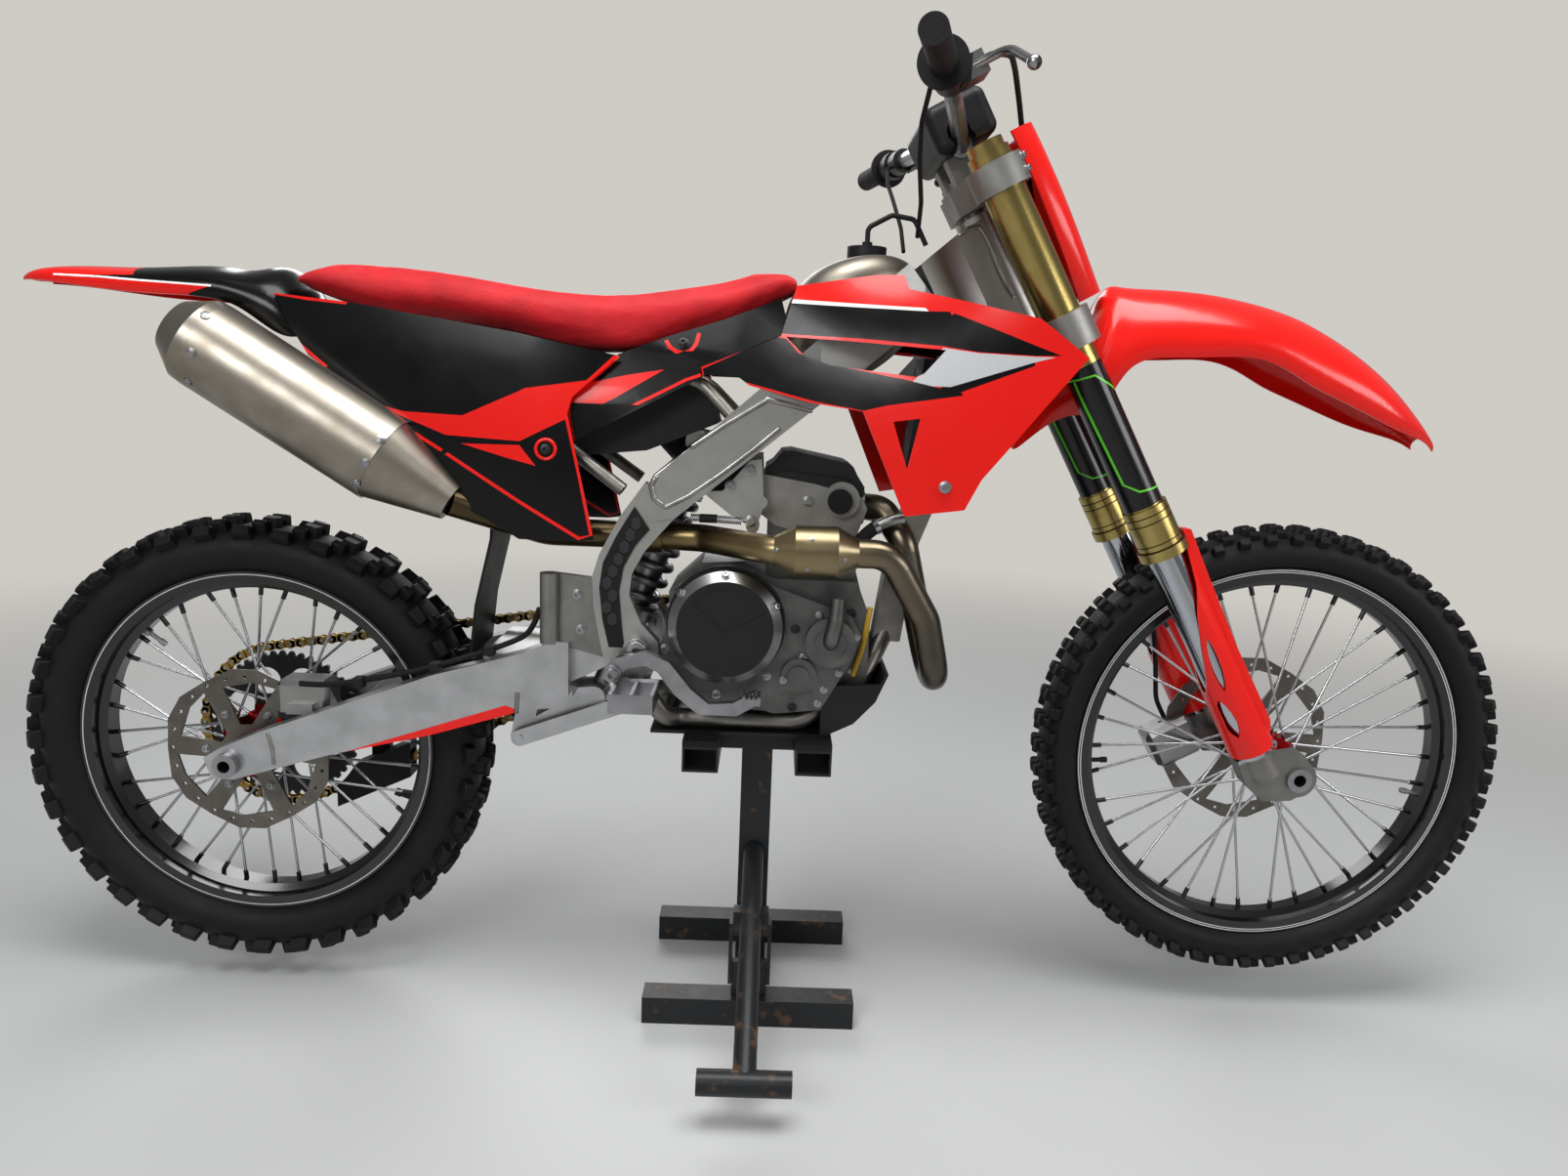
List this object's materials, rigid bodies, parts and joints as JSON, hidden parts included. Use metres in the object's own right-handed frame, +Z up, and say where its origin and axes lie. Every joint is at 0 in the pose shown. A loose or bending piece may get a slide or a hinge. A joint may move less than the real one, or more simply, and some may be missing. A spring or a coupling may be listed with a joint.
{
  "type": "off-road motorcycle on a paddock stand",
  "caption": "Off-road competition motorcycle held upright under its frame by a foot-operated paddock lift stand; bars steer and both wheels turn.",
  "frame": {"origin": "centre of the stand's footprint on the floor", "axes": "+X towards the front wheel, +Y to the rider's left, +Z up"},
  "size_m": [2.1593, 0.8076, 1.2923],
  "materials": {
    "anodised_aluminium": "anodised",
    "black_foam": "matte",
    "black_gloss_plastic": "gloss",
    "black_paint": "satin",
    "black_plastic": "matte",
    "black_rim": "gloss",
    "black_rubber": "matte",
    "bright_steel": "machined",
    "cast_aluminium": "cast",
    "chrome": "polished",
    "frame_aluminium": "brushed",
    "gold_anodised": "anodised",
    "gold_chain": "plated",
    "radiator_aluminium": "finned",
    "red_plastic": "gloss",
    "seat_cover": "textured",
    "spoke_steel": "polished",
    "stand_paint": "worn",
    "titanium": "brushed",
    "tyre_rubber": "matte"
  },
  "bodies": {
    "chassis": {"airbox": "black_plastic", "chain": "gold_chain", "clutch_cover": "black_paint", "control_cables": "black_rubber", "crankcase": "cast_aluminium", "cylinder_head": "cast_aluminium", "engine_covers": "cast_aluminium", "engine_cylinder": "cast_aluminium", "exhaust_header": "titanium", "foot_controls": "bright_steel", "footpegs": "bright_steel", "frame_cradle": "frame_aluminium", "frame_guards": "black_rubber", "frame_head": "frame_aluminium", "frame_spars": "frame_aluminium", "front_sprocket": "bright_steel", "fuel_cap": "black_plastic", "fuel_tank": "titanium", "muffler": "titanium", "pivot_plates": "frame_aluminium", "radiator_shrouds": "red_plastic", "radiators": "radiator_aluminium", "rear_axle": "bright_steel", "rear_brake": "black_paint", "rear_fender": "red_plastic", "rear_shock": "bright_steel", "seat": "seat_cover", "shock_linkage": "anodised_aluminium", "side_panels": "black_gloss_plastic", "skid_plate": "frame_aluminium", "stand_base": "stand_paint", "stand_column": "stand_paint", "stand_lever": "stand_paint", "stand_treads": "black_rubber", "subframe": "frame_aluminium", "swingarm": "anodised_aluminium", "valve_cover": "black_paint"},
    "steering": {"bar_controls": "black_paint", "bar_pad": "black_foam", "fork_guards": "red_plastic", "fork_legs": "chrome", "fork_outer_tubes": "gold_anodised", "front_axle": "bright_steel", "front_brake_hose": "black_rubber", "front_caliper": "black_paint", "front_fender": "red_plastic", "front_number_plate": "red_plastic", "grips": "black_rubber", "handlebar": "anodised_aluminium", "triple_clamps": "black_paint"},
    "front_wheel": {"front_disc": "bright_steel", "front_hub_spokes": "spoke_steel", "front_rim": "black_rim", "front_tyre": "tyre_rubber"},
    "rear_wheel": {"rear_disc": "bright_steel", "rear_hub_spokes": "spoke_steel", "rear_rim": "black_rim", "rear_sprocket": "black_paint", "rear_tyre": "tyre_rubber"}
  },
  "joints": [
    {"name": "steering_head", "type": "hinge", "parent": "chassis", "child": "steering", "pos_m": [0.31351, 0, 1.06413], "axis": [-0.4848, 0, 0.8746], "range_deg": [-45, 45], "deforming": ["control_cables"]},
    {"name": "front_wheel_spin", "type": "hinge", "parent": "steering", "child": "front_wheel", "pos_m": [0.753, 0, 0.393], "axis": [0, 1, 0], "continuous": true},
    {"name": "rear_wheel_spin", "type": "hinge", "parent": "chassis", "child": "rear_wheel", "pos_m": [-0.729, 0, 0.359], "axis": [0, 1, 0], "continuous": true}
  ]
}
